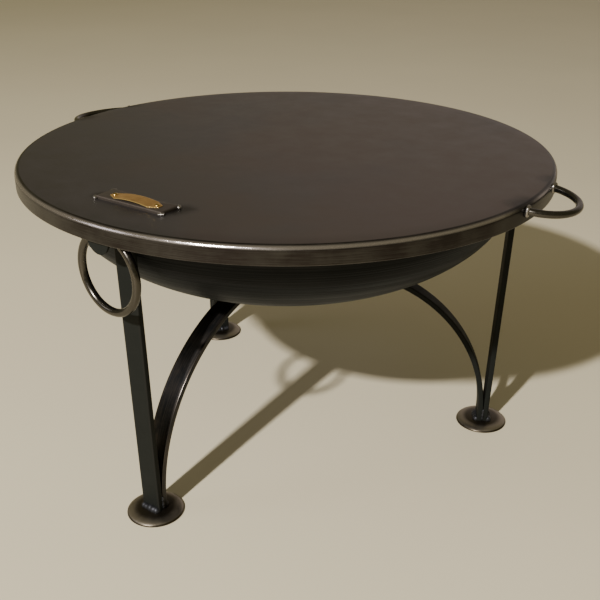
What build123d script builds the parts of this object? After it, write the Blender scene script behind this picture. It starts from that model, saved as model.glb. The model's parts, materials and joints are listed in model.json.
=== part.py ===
from build123d import *
import os
from math import cos, hypot, radians, sin, sqrt, tan

# Fire pit: a spun steel bowl on three flat-bar legs with arched braces and disc feet,
# a lift-out grate in the bowl, two drop rings under the rim and a flat table lid.
# Millimetres, +Z up, origin on the ground under the bowl's axis. The front leg, the
# badge and the front drop ring point to -Y, the lid's handles to +X and -X.

# ---- overall ----
HEIGHT = 422.0            # ground to the top of the lid
BOWL_RADIUS = 311.5       # outside of the bowl's upright wall
RIM_WIDTH = 38.5          # flat rim, from the wall outwards
BOWL_DISH = 147.0         # depth of the rounded part of the bowl
BOWL_WALL_HEIGHT = 28.5   # upright wall and rim above the rounded part
BOWL_SHEET = 3.0
RIM_BEND = 4.0            # inside radius of the bend from wall to rim
DRAIN_RADIUS = 7.5

# ---- lid ----
LID_SHEET = 3.0
LID_GAP = 7.0             # between the bowl's rim and the lid's skirt
LID_DEPTH = 23.5          # skirt's lower edge below the lid's top
LID_EDGE_BEND = 7.0       # outside radius of the rounded top edge

# ---- legs, braces and feet ----
LEG_NAMES = {"front": 270.0, "right": 30.0, "left": 150.0}   # name: angle round the bowl
LEG_WIDTH = 29.0
LEG_THICKNESS = 8.0
LEG_LEAN = 1.84           # degrees, the top further out than the foot
BRACE_WIDTH = 29.0
BRACE_THICKNESS = 8.0
BRACE_SPRING = 16.0       # height where the brace starts to bend away from its leg
BRACE_MEETS_BOWL = 100.0  # radius where the brace's upper face reaches the bowl
BRACE_TAIL = 20.0         # length of the brace's thinned end past that radius
FOOT_RADIUS = 37.4
FOOT_RISE = 8.0           # height of the dome
FOOT_EDGE = 3.0           # height of the disc's edge
BAR_EDGE = 0.8            # rounding of the flat bars' long edges

# ---- drop rings and their lugs ----
RING_ANGLES = {"front": (270.0, -5.0), "back": (90.0, 0.0)}   # round the bowl; turned on the spot
RING_RADIUS = 47.0        # to the middle of the bar
RING_BAR = 5.0            # bar radius
RING_PIVOT_DROP = 19.0    # pivot below the lid's top
RING_PIVOT_INSET = 7.0    # pivot inside the rim's edge
LUG_WIDTH = 18.0
LUG_WALL = 2.3
CHEEK_RADIUS = 18.0       # half-round lower end of the lug's outer cheek
CHEEK_THICKNESS = 3.0
CHEEK_STAND_OFF = 1.5     # cheek's inner face outside the rim's edge
CHEEK_DROP = 21.5         # centre of that half-round below the lid's top

# ---- lid handles ----
HANDLE_ANGLES = {"right": 3.5, "left": 178.5}
HANDLE_RADIUS = 50.2      # to the middle of the bar
HANDLE_BAR = 4.6          # bar radius
HANDLE_INSET = 8.0        # centre of the half ring inside the skirt's outer face
HANDLE_DROP = 8.9         # centre of the half ring below the lid's top
HANDLE_DROOP = 6.2        # degrees, the outer end lower

# ---- badge ----
PLATE_LENGTH = 102.0
PLATE_WIDTH = 30.0
PLATE_THICKNESS = 4.0
PLATE_CENTRE = (-5.0, -286.5)
BADGE_LENGTH = 75.0
BADGE_WIDTH = 20.0
BADGE_SHEET = 1.2
BADGE_RISE = 2.2          # height of the arch in the middle
BADGE_FLAT = 11.0         # flat length at each end
BADGE_TAPER = (12.0, 6.5)  # corner cut, along and across
BADGE_CENTRE = (-2.5, -289.5)
RIVET_PITCH = 65.0
RIVET_SHANK = 2.0         # shank radius
RIVET_HEAD = 3.2          # head radius
RIVET_CROWN = 2.0         # head height

# ---- grate ----
GRATE_SEAT = 60.0         # degrees round the dish from its lowest point to the grate's seat
GRATE_RING_BAR = 5.0      # bar radius
GRATE_BAR = 4.0           # bar radius
GRATE_PITCH = 30.0
BEARER_OFFSET = 90.0
GRATE_HANDLE_WIDTH = 90.0
GRATE_HANDLE_HEIGHT = 68.0
GRATE_HANDLE_BEND = 16.0

# ---- welds and clearances ----
WELD = 3.5                # bead radius
WELD_SHORT = 3.0          # how much shorter a bead is than its bar is wide
WELD_SINK = 0.4           # foot beads' centres below the top of the dome
HANDLE_WELD = 6.6         # bead radius round the lid handles' ends
TACK = 2.6
LOOSE = 0.3               # between faces of pieces that move apart

# ---- worked out from the above ----
RIM_TOP = HEIGHT - LID_SHEET
RIM_UNDER = RIM_TOP - BOWL_SHEET
RIM_RADIUS = BOWL_RADIUS + RIM_WIDTH
WALL_FOOT = RIM_TOP - BOWL_WALL_HEIGHT
LID_RADIUS = RIM_RADIUS + LID_GAP + LID_SHEET
INNER_RADIUS = BOWL_RADIUS - BOWL_SHEET
INNER_DISH = BOWL_DISH - BOWL_SHEET
LEG_SLOPE = tan(radians(LEG_LEAN))
LEG_SPAN = LEG_THICKNESS / cos(radians(LEG_LEAN))
RING_PIVOT = RIM_RADIUS - RING_PIVOT_INSET
RING_PIVOT_Z = HEIGHT - RING_PIVOT_DROP

os.makedirs("parts", exist_ok=True)


def save(piece, name):
    """Label a finished piece and write it as its own STEP file."""
    piece.part.label = name
    export_step(piece.part, f"parts/{name}.step")


def radial_plane(angle):
    """Upright plane through the axis: x runs outwards at the angle, y runs up."""
    a = radians(angle)
    return Plane(origin=(0, 0, 0), x_dir=(cos(a), sin(a), 0), z_dir=(sin(a), -cos(a), 0))


def facing_plane(angle, radius, height, turn=0.0):
    """Upright plane at an angle round the bowl, facing outwards but for a turn on the spot:
    x runs round the bowl, y runs up."""
    a, f = radians(angle), radians(angle + turn)
    origin = (radius * cos(a), radius * sin(a), height)
    return Plane(origin=origin, x_dir=(-sin(f), cos(f), 0), z_dir=(cos(f), sin(f), 0))


def bowl_underside(radius):
    """Height of the bowl's outer face at a radius."""
    return WALL_FOOT - BOWL_DISH * sqrt(1 - (radius / BOWL_RADIUS) ** 2)


def leg_inner_face(height):
    """Radius of a leg's inner face at a height: it touches the wall's foot."""
    return BOWL_RADIUS + LEG_SLOPE * (height - WALL_FOOT)


FOOT_CIRCLE = leg_inner_face(FOOT_RISE) + (LEG_THICKNESS - BRACE_THICKNESS) / 2

# ---- bowl ----
with BuildPart() as bowl:
    with BuildSketch(Plane.XZ):
        with BuildLine():
            EllipticalCenterArc((0, WALL_FOOT), BOWL_RADIUS, BOWL_DISH, start_angle=270, arc_size=90)
            Line((BOWL_RADIUS, WALL_FOOT), (BOWL_RADIUS, RIM_UNDER - RIM_BEND))
            RadiusArc((BOWL_RADIUS, RIM_UNDER - RIM_BEND), (BOWL_RADIUS + RIM_BEND, RIM_UNDER), RIM_BEND)
            Line((BOWL_RADIUS + RIM_BEND, RIM_UNDER), (BOWL_RADIUS + RIM_BEND, RIM_TOP))
            RadiusArc(
                (BOWL_RADIUS + RIM_BEND, RIM_TOP), (INNER_RADIUS, RIM_UNDER - RIM_BEND),
                -(RIM_BEND + BOWL_SHEET))
            Line((INNER_RADIUS, RIM_UNDER - RIM_BEND), (INNER_RADIUS, WALL_FOOT))
            EllipticalCenterArc((0, WALL_FOOT), INNER_RADIUS, INNER_DISH, start_angle=270, arc_size=90)
            Line((0, WALL_FOOT - INNER_DISH), (0, WALL_FOOT - BOWL_DISH))
        make_face()
    revolve(axis=Axis.Z)
    with BuildSketch(Plane.XY.offset(WALL_FOOT - BOWL_DISH - BOWL_SHEET)):
        Circle(DRAIN_RADIUS)
    extrude(amount=3 * BOWL_SHEET, mode=Mode.SUBTRACT)
save(bowl, "bowl")

with BuildPart() as rim_ring:
    with BuildSketch(Plane.XY.offset(RIM_UNDER)):
        Circle(RIM_RADIUS)
        Circle(BOWL_RADIUS + RIM_BEND, mode=Mode.SUBTRACT)
    extrude(amount=BOWL_SHEET)
save(rim_ring, "rim_ring")


# ---- feet, legs and braces ----
def make_foot(angle):
    """Disc with a domed top, its middle under the joint of leg and brace."""
    a = radians(angle)
    x, y = FOOT_CIRCLE * cos(a), FOOT_CIRCLE * sin(a)
    with BuildPart() as foot:
        with BuildSketch(Plane(origin=(x, y, 0), x_dir=(1, 0, 0), z_dir=(0, -1, 0))):
            with BuildLine():
                Polyline((0, FOOT_RISE), (0, 0), (FOOT_RADIUS, 0), (FOOT_RADIUS, FOOT_EDGE))
                dome = (FOOT_RADIUS**2 + (FOOT_RISE - FOOT_EDGE) ** 2) / (2 * (FOOT_RISE - FOOT_EDGE))
                RadiusArc((0, FOOT_RISE), (FOOT_RADIUS, FOOT_EDGE), dome)
            make_face()
        revolve(axis=Axis((x, y, 0), (0, 0, 1)))
    return foot


def make_leg(angle, foot):
    """Flat bar from the foot's dome to the underside of the rim, against the bowl's wall, its
    inner top corner cut off to clear the bend from wall to rim."""
    low, high = FOOT_EDGE, RIM_UNDER
    notch = high - RIM_BEND
    with BuildPart() as leg:
        with BuildSketch(radial_plane(angle)):
            with BuildLine():
                Polyline(
                    (leg_inner_face(low), low), (leg_inner_face(low) + LEG_SPAN, low),
                    (leg_inner_face(high) + LEG_SPAN, high), (BOWL_RADIUS + RIM_BEND, high),
                    (leg_inner_face(notch), notch), close=True)
            make_face()
        extrude(amount=LEG_WIDTH / 2, both=True)
        long_edges = leg.edges().filter_by(lambda e: e.length > high - low - 2 * RIM_BEND)
        fillet(long_edges, min(BAR_EDGE, LEG_THICKNESS / 3))
        add(foot.part, mode=Mode.SUBTRACT)
    return leg


def brace_arc():
    """Centre and upper-face radius of the arc that leaves the leg's inner face at a
    tangent and passes through the point where the brace meets the bowl."""
    start = (leg_inner_face(BRACE_SPRING), BRACE_SPRING)
    reach = (BRACE_MEETS_BOWL - start[0], bowl_underside(BRACE_MEETS_BOWL) - start[1])
    inward = (-cos(radians(LEG_LEAN)), sin(radians(LEG_LEAN)))
    radius = hypot(*reach) ** 2 / (2 * (reach[0] * inward[0] + reach[1] * inward[1]))
    return (start[0] + radius * inward[0], start[1] + radius * inward[1]), radius


def make_brace(angle, foot):
    """Flat bar that rises beside the leg and arches in under the bowl."""
    (arc_x, arc_z), outer = brace_arc()
    inner = outer - BRACE_THICKNESS
    tail = BRACE_MEETS_BOWL - BRACE_TAIL
    across = BRACE_THICKNESS / cos(radians(LEG_LEAN))

    def on_arc(radius, x):
        return (x, arc_z + sqrt(radius**2 - (x - arc_x) ** 2))

    def on_start(radius):
        return (arc_x + radius * cos(radians(LEG_LEAN)), arc_z - radius * sin(radians(LEG_LEAN)))

    with BuildPart() as brace:
        with BuildSketch(radial_plane(angle)):
            with BuildLine():
                RadiusArc(on_start(outer), on_arc(outer, tail), -outer)
                Line(on_arc(outer, tail), on_arc(inner, tail))
                RadiusArc(on_arc(inner, tail), on_start(inner), inner)
                Polyline(
                    on_start(inner), (leg_inner_face(FOOT_EDGE) - across, FOOT_EDGE),
                    (leg_inner_face(FOOT_EDGE), FOOT_EDGE), on_start(outer))
            make_face()
        extrude(amount=BRACE_WIDTH / 2, both=True)
        add(foot.part, mode=Mode.SUBTRACT)
        with BuildSketch(Plane.XZ):
            with BuildLine():
                EllipticalCenterArc((0, WALL_FOOT), BOWL_RADIUS, BOWL_DISH, start_angle=270, arc_size=90)
                Line((BOWL_RADIUS, WALL_FOOT), (0, WALL_FOOT))
                Line((0, WALL_FOOT), (0, WALL_FOOT - BOWL_DISH))
            make_face()
        revolve(axis=Axis.Z, mode=Mode.SUBTRACT)
    return brace


def bead(angle, radius, height, length, thickness=WELD):
    """Round bead across a bar, at a radius and height, before its neighbours are cut from it."""
    with BuildPart() as run:
        with BuildSketch(radial_plane(angle).offset(-length / 2)):
            with Locations((radius, height)):
                Circle(thickness)
        extrude(amount=length)
    return run.part


supports = {}
for side, angle in LEG_NAMES.items():
    foot = make_foot(angle)
    supports[side] = (foot, make_leg(angle, foot), make_brace(angle, foot))
    for kind, piece in zip(("foot", "leg", "brace"), supports[side]):
        save(piece, f"{kind}_{side}")

BEAD_RUN = LEG_WIDTH - WELD_SHORT
with BuildPart() as foot_welds:
    for side, angle in LEG_NAMES.items():
        faces = (
            leg_inner_face(FOOT_RISE) + LEG_SPAN,
            leg_inner_face(FOOT_RISE) - BRACE_THICKNESS)
        for face in faces:
            add(bead(angle, face, FOOT_RISE - WELD_SINK, BEAD_RUN))
        for piece in supports[side]:
            add(piece.part, mode=Mode.SUBTRACT)
save(foot_welds, "foot_welds")

with BuildPart() as leg_top_welds:
    for side, angle in LEG_NAMES.items():
        add(bead(angle, leg_inner_face(RIM_UNDER) + LEG_SPAN, RIM_UNDER, BEAD_RUN))
        add(supports[side][1].part, mode=Mode.SUBTRACT)
    add(bowl.part, mode=Mode.SUBTRACT)
    add(rim_ring.part, mode=Mode.SUBTRACT)
    for top in leg_top_welds.solids().filter_by(lambda s: s.center().Z > RIM_UNDER):
        add(top, mode=Mode.SUBTRACT)
save(leg_top_welds, "leg_top_welds")

with BuildPart() as brace_welds:
    tail = BRACE_MEETS_BOWL - BRACE_TAIL
    for side, angle in LEG_NAMES.items():
        add(bead(angle, tail, bowl_underside(tail), BEAD_RUN))
        add(supports[side][2].part, mode=Mode.SUBTRACT)
    add(bowl.part, mode=Mode.SUBTRACT)
    for top in brace_welds.solids().filter_by(lambda s: s.center().Z > bowl_underside(tail) + WELD / 2):
        add(top, mode=Mode.SUBTRACT)
save(brace_welds, "brace_welds")

# ---- drop rings and lugs ----
BORE = RING_BAR + LOOSE + RING_RADIUS - sqrt(RING_RADIUS**2 - (LUG_WIDTH / 2) ** 2)
KNUCKLE = BORE + LUG_WALL


def make_lug(angle, turn):
    """Knuckle that carries the ring, a neck up to the rim and a half-round outer cheek."""
    cheek_height = RIM_UNDER - (HEIGHT - CHEEK_DROP)
    neck_in, neck_out = -KNUCKLE / 2, RING_PIVOT_INSET + CHEEK_STAND_OFF
    neck_height = RIM_UNDER - RING_PIVOT_Z
    faces_out = facing_plane(angle, RING_PIVOT, RING_PIVOT_Z, turn)
    along_bore = Plane(origin=faces_out.origin, x_dir=faces_out.z_dir, z_dir=-faces_out.x_dir)
    cheek_back = facing_plane(angle, RING_PIVOT, HEIGHT - CHEEK_DROP, turn).offset(neck_out)
    with BuildPart() as lug:
        with BuildSketch(along_bore.offset(-LUG_WIDTH / 2)):
            Circle(KNUCKLE)
            with Locations(((neck_in + neck_out) / 2, neck_height / 2)):
                Rectangle(neck_out - neck_in, neck_height)
            Circle(BORE, mode=Mode.SUBTRACT)
        extrude(amount=LUG_WIDTH)
        with BuildSketch(cheek_back):
            Circle(CHEEK_RADIUS)
            with Locations((0, CHEEK_RADIUS)):
                Rectangle(2 * CHEEK_RADIUS, 2 * CHEEK_RADIUS, mode=Mode.SUBTRACT)
            with Locations((0, cheek_height / 2)):
                Rectangle(2 * CHEEK_RADIUS, cheek_height)
        extrude(amount=CHEEK_THICKNESS)
    return lug


def make_drop_ring(angle, turn):
    """Closed round-bar ring that hangs through the lug's knuckle."""
    with BuildPart() as ring:
        with Locations(facing_plane(angle, RING_PIVOT, RING_PIVOT_Z - RING_RADIUS, turn)):
            Torus(RING_RADIUS, RING_BAR)
    return ring


for side, (angle, turn) in RING_ANGLES.items():
    save(make_lug(angle, turn), f"ring_lug_{side}")
    save(make_drop_ring(angle, turn), f"drop_ring_{side}")

# ---- grate ----
seat = radians(GRATE_SEAT)
seat_norm = hypot(INNER_DISH * sin(seat), INNER_RADIUS * cos(seat))
seat_gap = GRATE_RING_BAR + LOOSE
GRATE_RADIUS = INNER_RADIUS * sin(seat) - seat_gap * INNER_DISH * sin(seat) / seat_norm
GRATE_Z = WALL_FOOT - INNER_DISH * cos(seat) + seat_gap * INNER_RADIUS * cos(seat) / seat_norm
BARS_Z = GRATE_Z + GRATE_RING_BAR + GRATE_BAR

with BuildPart() as grate_ring:
    with Locations((0, 0, GRATE_Z)):
        Torus(GRATE_RADIUS, GRATE_RING_BAR)
save(grate_ring, "grate_ring")

with BuildPart() as grate_bearers:
    for x in (-BEARER_OFFSET, BEARER_OFFSET):
        half = sqrt(GRATE_RADIUS**2 - x**2)
        with BuildSketch(Plane.XZ.offset(-half)):
            with Locations((x, GRATE_Z)):
                Circle(GRATE_RING_BAR)
        extrude(amount=2 * half)
    add(grate_ring.part, mode=Mode.SUBTRACT)
    for stub in grate_bearers.solids().sort_by(SortBy.VOLUME)[:-2]:
        add(stub, mode=Mode.SUBTRACT)
save(grate_bearers, "grate_bearers")

with BuildPart() as grate_bars:
    bars_each_side = int((GRATE_RADIUS - GRATE_PITCH / 2) // GRATE_PITCH)
    for step in range(-bars_each_side, bars_each_side + 1):
        y = step * GRATE_PITCH
        half = sqrt(GRATE_RADIUS**2 - y**2)
        with BuildSketch(Plane.YZ.offset(-half)):
            with Locations((y, BARS_Z)):
                Circle(GRATE_BAR)
        extrude(amount=2 * half)
save(grate_bars, "grate_bars")


def make_grate_handle(direction):
    """Upright loop of round bar standing on the grate's ring."""
    x = direction * sqrt(GRATE_RADIUS**2 - (GRATE_HANDLE_WIDTH / 2) ** 2)
    foot_z = GRATE_Z + GRATE_RING_BAR
    top_z = foot_z + GRATE_HANDLE_HEIGHT - GRATE_BAR
    half = GRATE_HANDLE_WIDTH / 2
    with BuildPart() as handle:
        with BuildLine(Plane.YZ.offset(x)):
            FilletPolyline(
                (-half, foot_z - GRATE_RING_BAR), (-half, top_z), (half, top_z),
                (half, foot_z - GRATE_RING_BAR), radius=GRATE_HANDLE_BEND)
        with BuildSketch(Plane.XY.offset(foot_z - GRATE_RING_BAR)):
            with Locations((x, -half)):
                Circle(GRATE_BAR)
        sweep()
        add(grate_ring.part, mode=Mode.SUBTRACT)
        for stub in handle.solids().sort_by(SortBy.VOLUME)[:-1]:
            add(stub, mode=Mode.SUBTRACT)
    return handle


save(make_grate_handle(1), "grate_handle_right")
save(make_grate_handle(-1), "grate_handle_left")

# ---- lid ----
SKIRT_FOOT = HEIGHT - LID_DEPTH
SKIRT_INNER = LID_RADIUS - LID_SHEET
INNER_BEND = LID_EDGE_BEND - LID_SHEET
with BuildPart() as lid_top:
    with BuildSketch(Plane.XY.offset(RIM_TOP)):
        Circle(LID_RADIUS - LID_EDGE_BEND)
    extrude(amount=LID_SHEET)
save(lid_top, "lid_top")

with BuildPart() as lid_skirt:
    bend_start = LID_RADIUS - LID_EDGE_BEND
    with BuildSketch(Plane.XZ):
        with BuildLine():
            Line((bend_start, RIM_TOP), (bend_start, HEIGHT))
            RadiusArc((bend_start, HEIGHT), (LID_RADIUS, HEIGHT - LID_EDGE_BEND), LID_EDGE_BEND)
            Polyline(
                (LID_RADIUS, HEIGHT - LID_EDGE_BEND), (LID_RADIUS, SKIRT_FOOT),
                (SKIRT_INNER, SKIRT_FOOT), (SKIRT_INNER, RIM_TOP - INNER_BEND))
            RadiusArc((SKIRT_INNER, RIM_TOP - INNER_BEND), (bend_start, RIM_TOP), -INNER_BEND)
        make_face()
    revolve(axis=Axis.Z)
save(lid_skirt, "lid_skirt")


def handle_plane(angle):
    """Plane of a lid handle's half ring, drooping outwards."""
    a, droop = radians(angle), radians(HANDLE_DROOP)
    reach = LID_RADIUS - HANDLE_INSET
    return Plane(
        origin=(reach * cos(a), reach * sin(a), HEIGHT - HANDLE_DROP),
        x_dir=(cos(a) * cos(droop), sin(a) * cos(droop), -sin(droop)),
        z_dir=(cos(a) * sin(droop), sin(a) * sin(droop), cos(droop)))


def make_lid_handle(angle):
    """Half ring of round bar whose ends butt against the skirt."""
    with BuildPart() as handle:
        with Locations(handle_plane(angle)):
            Torus(HANDLE_RADIUS, HANDLE_BAR)
        with Locations((0, 0, HEIGHT)):
            Cylinder(LID_RADIUS, 4 * HANDLE_RADIUS, mode=Mode.SUBTRACT)
    return handle


lid_handles = {side: make_lid_handle(angle) for side, angle in HANDLE_ANGLES.items()}
for side, handle in lid_handles.items():
    save(handle, f"lid_handle_{side}")

with BuildPart() as lid_handle_welds:
    reach = LID_RADIUS - HANDLE_INSET
    end_x = (LID_RADIUS**2 - HANDLE_RADIUS**2 - reach**2) / (2 * reach)
    end_y = sqrt(HANDLE_RADIUS**2 - end_x**2)
    for side, angle in HANDLE_ANGLES.items():
        outward = (cos(radians(angle)), sin(radians(angle)), 0)
        for y in (-end_y, end_y):
            spot = handle_plane(angle).from_local_coords((end_x, y, 0))
            with Locations(Plane(origin=spot, x_dir=(0, 0, 1), z_dir=outward)):
                Sphere(HANDLE_WELD)
        add(lid_handles[side].part, mode=Mode.SUBTRACT)
    with Locations((0, 0, HEIGHT)):
        Cylinder(LID_RADIUS, 4 * HANDLE_RADIUS, mode=Mode.SUBTRACT)
save(lid_handle_welds, "lid_handle_welds")

# ---- badge on the lid ----
PLATE_TOP = HEIGHT + PLATE_THICKNESS
RIVET_SPOTS = [(BADGE_CENTRE[0] + end * RIVET_PITCH / 2, BADGE_CENTRE[1]) for end in (-1, 1)]

with BuildPart() as badge_plate:
    with BuildSketch(Plane.XY.offset(HEIGHT)):
        with Locations(PLATE_CENTRE):
            Rectangle(PLATE_LENGTH, PLATE_WIDTH)
        with Locations(*RIVET_SPOTS):
            Circle(RIVET_SHANK, mode=Mode.SUBTRACT)
    extrude(amount=PLATE_THICKNESS)
save(badge_plate, "badge_plate")

with BuildPart() as plate_tacks:
    for side_x in (-1, 1):
        for side_y in (-1, 1):
            corner = (
                PLATE_CENTRE[0] + side_x * PLATE_LENGTH / 2,
                PLATE_CENTRE[1] + side_y * PLATE_WIDTH / 2, HEIGHT + TACK / 2)
            with Locations(corner):
                Sphere(TACK)
    add(badge_plate.part, mode=Mode.SUBTRACT)
    with Locations((0, 0, HEIGHT - LID_DEPTH / 2)):
        Cylinder(LID_RADIUS, LID_DEPTH, mode=Mode.SUBTRACT)
save(plate_tacks, "plate_tacks")

with BuildPart() as brass_badge:
    half_x, half_y = BADGE_LENGTH / 2, BADGE_WIDTH / 2
    arch_half = half_x - BADGE_FLAT
    arch_radius = (arch_half**2 + BADGE_RISE**2) / (2 * BADGE_RISE)
    centre_z = BADGE_RISE - arch_radius
    top_half = sqrt((arch_radius + BADGE_SHEET) ** 2 - (BADGE_SHEET - centre_z) ** 2)
    badge_side = Plane(
        origin=(*BADGE_CENTRE, PLATE_TOP), x_dir=(1, 0, 0), z_dir=(0, -1, 0))
    with BuildSketch(badge_side):
        with BuildLine():
            Line((-half_x, 0), (-arch_half, 0))
            ThreePointArc((-arch_half, 0), (0, BADGE_RISE), (arch_half, 0))
            Polyline((arch_half, 0), (half_x, 0), (half_x, BADGE_SHEET), (top_half, BADGE_SHEET))
            ThreePointArc((top_half, BADGE_SHEET), (0, BADGE_RISE + BADGE_SHEET), (-top_half, BADGE_SHEET))
            Polyline((-top_half, BADGE_SHEET), (-half_x, BADGE_SHEET), (-half_x, 0))
        make_face()
    extrude(amount=BADGE_WIDTH / 2, both=True)
    along, cut = BADGE_TAPER
    with BuildSketch(Plane.XY.offset(PLATE_TOP)):
        with Locations(BADGE_CENTRE):
            Polygon(
                (half_x - along, half_y), (half_x, half_y - cut), (half_x, cut - half_y),
                (half_x - along, -half_y), (along - half_x, -half_y), (-half_x, cut - half_y),
                (-half_x, half_y - cut), (along - half_x, half_y), align=None)
        with Locations(*RIVET_SPOTS):
            Circle(RIVET_SHANK, mode=Mode.SUBTRACT)
    extrude(amount=BADGE_RISE + 2 * BADGE_SHEET, mode=Mode.INTERSECT)
save(brass_badge, "brass_badge")

with BuildPart() as badge_rivets:
    crown_radius = (RIVET_HEAD**2 + RIVET_CROWN**2) / (2 * RIVET_CROWN)
    head_base = PLATE_TOP + BADGE_SHEET
    for spot in RIVET_SPOTS:
        with BuildSketch(Plane(origin=(*spot, 0), x_dir=(1, 0, 0), z_dir=(0, -1, 0))):
            with BuildLine():
                Polyline(
                    (0, head_base + RIVET_CROWN), (0, HEIGHT), (RIVET_SHANK, HEIGHT),
                    (RIVET_SHANK, head_base), (RIVET_HEAD, head_base))
                RadiusArc((0, head_base + RIVET_CROWN), (RIVET_HEAD, head_base), crown_radius)
            make_face()
        revolve(axis=Axis((*spot, 0), (0, 0, 1)))
save(badge_rivets, "badge_rivets")
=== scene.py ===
"""Fire pit with grate: the finish and fine shape of each piece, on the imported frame.

A spun steel bowl stands on three flat-bar legs with arched braces and disc feet. Two drop
rings hang under its rim, a grate lies inside, and a flat table lid with two bar handles
and a bare brass badge covers it. All lengths are in metres unless a name ends in _mm.
"""
import json
import logging
import math
from dataclasses import dataclass
from enum import Enum
from typing import Any, Iterable, Optional, Union

import bmesh
import bpy
import numpy as np
from mathutils import Matrix, Vector

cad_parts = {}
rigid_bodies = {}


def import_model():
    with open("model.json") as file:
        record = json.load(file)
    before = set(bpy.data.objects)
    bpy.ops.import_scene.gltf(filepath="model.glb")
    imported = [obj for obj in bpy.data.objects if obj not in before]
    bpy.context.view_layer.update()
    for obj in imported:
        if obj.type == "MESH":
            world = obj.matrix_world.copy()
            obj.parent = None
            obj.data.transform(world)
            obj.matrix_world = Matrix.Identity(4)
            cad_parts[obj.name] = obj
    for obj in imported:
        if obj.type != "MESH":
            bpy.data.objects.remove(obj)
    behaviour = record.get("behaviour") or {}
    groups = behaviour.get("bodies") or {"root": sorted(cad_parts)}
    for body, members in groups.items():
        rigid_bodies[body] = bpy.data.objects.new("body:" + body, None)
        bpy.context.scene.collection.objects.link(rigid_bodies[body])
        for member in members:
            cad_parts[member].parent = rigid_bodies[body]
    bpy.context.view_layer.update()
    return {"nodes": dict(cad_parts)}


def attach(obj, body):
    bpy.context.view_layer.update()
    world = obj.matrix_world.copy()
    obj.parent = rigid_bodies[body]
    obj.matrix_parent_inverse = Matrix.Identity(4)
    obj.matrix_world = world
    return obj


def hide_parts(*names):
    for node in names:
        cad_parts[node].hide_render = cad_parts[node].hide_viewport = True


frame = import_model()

LOG = logging.getLogger("fire_pit")
Colour = tuple[float, float, float, float]
Pair = tuple[float, float]
Point = tuple[float, float, float]
Spot = tuple[float, float, float, float]
Tree = bpy.types.NodeTree
Material = bpy.types.Material
Feed = Union[bpy.types.Node, bpy.types.NodeSocket]


class Place(Enum):
    """Where a piece stands round the pit: its angle from +X and its turn on the spot, in degrees."""

    LEG_FRONT = (270.0, 0.0)
    LEG_RIGHT = (30.0, 0.0)
    LEG_LEFT = (150.0, 0.0)
    RING_FRONT = (270.0, -5.0)
    RING_BACK = (90.0, 0.0)
    HANDLE_RIGHT = (3.5, 0.0)
    HANDLE_LEFT = (178.5, 0.0)

    @property
    def outward(self) -> np.ndarray:
        """Level unit vector from the pit's axis towards the place."""
        a = math.radians(self.value[0])
        return np.array([math.cos(a), math.sin(a), 0.0])

    @property
    def facing(self) -> np.ndarray:
        """Level unit vector that the piece faces along: outward, turned on the spot."""
        a = math.radians(sum(self.value))
        return np.array([math.cos(a), math.sin(a), 0.0])

    @property
    def around(self) -> np.ndarray:
        """Level unit vector at right angles to facing, anticlockwise from above."""
        a = math.radians(sum(self.value))
        return np.array([-math.sin(a), math.cos(a), 0.0])


UP = np.array([0.0, 0.0, 1.0])


# ---------------------------------------------------------------- colour and nodes
def srgb(hex_code: str) -> Colour:
    """Turns an sRGB hex colour into the linear colour that shaders take.

    Args:
        hex_code: Six hex digits after a hash sign.

    Returns:
        Linear red, green and blue, and an alpha of 1.
    """
    raw = np.array([int(hex_code[i:i + 2], 16) for i in (1, 3, 5)]) / 255
    linear = np.where(raw <= 0.04045, raw / 12.92, ((raw + 0.055) / 1.055) ** 2.4)
    return (*(float(v) for v in linear), 1.0)


def per_metre(size_mm: float) -> float:
    """Texture scale that gives features of a size in millimetres on coordinates in metres."""
    return 1000.0 / size_mm


def add_node(tree: Tree, kind: str, inputs: Optional[dict] = None, **settings: Any) -> bpy.types.Node:
    """Adds one shader node with its settings, values and links.

    Args:
        tree: The node tree that takes the node.
        kind: The node's type name, without the ShaderNode in front.
        inputs: Socket name or index to a value or to what feeds it: an output socket, or a node,
            which feeds it from its first output in use.
        settings: The node's own properties.

    Returns:
        The new node.
    """
    node = tree.nodes.new("ShaderNode" + kind)
    for key, value in settings.items():
        setattr(node, key, value)
    for key, value in (inputs or {}).items():
        if isinstance(value, bpy.types.Node):
            value = next(socket for socket in value.outputs if socket.enabled)
        if isinstance(value, bpy.types.NodeSocket):
            tree.links.new(value, node.inputs[key])
        else:
            node.inputs[key].default_value = value
    return node


def start_material(name: str) -> tuple[Material, Tree, bpy.types.NodeSocket]:
    """Makes an empty material.

    Args:
        name: The material's name, in a maker's words.

    Returns:
        The material, its tree and the object's coordinates in metres.
    """
    material = bpy.data.materials.new(name)
    material.use_nodes = True
    tree = material.node_tree
    tree.nodes.clear()
    return material, tree, add_node(tree, "TexCoord").outputs["Object"]


def end_material(tree: Tree, **surface: Any) -> None:
    """Closes a material with one Principled shader.

    Args:
        tree: The material's nodes.
        surface: The shader's values and feeds, with spaces in their names written as underscores.
    """
    inputs = {key.replace("_", " "): value for key, value in surface.items()}
    add_node(tree, "OutputMaterial", {"Surface": add_node(tree, "BsdfPrincipled", inputs)})


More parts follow.
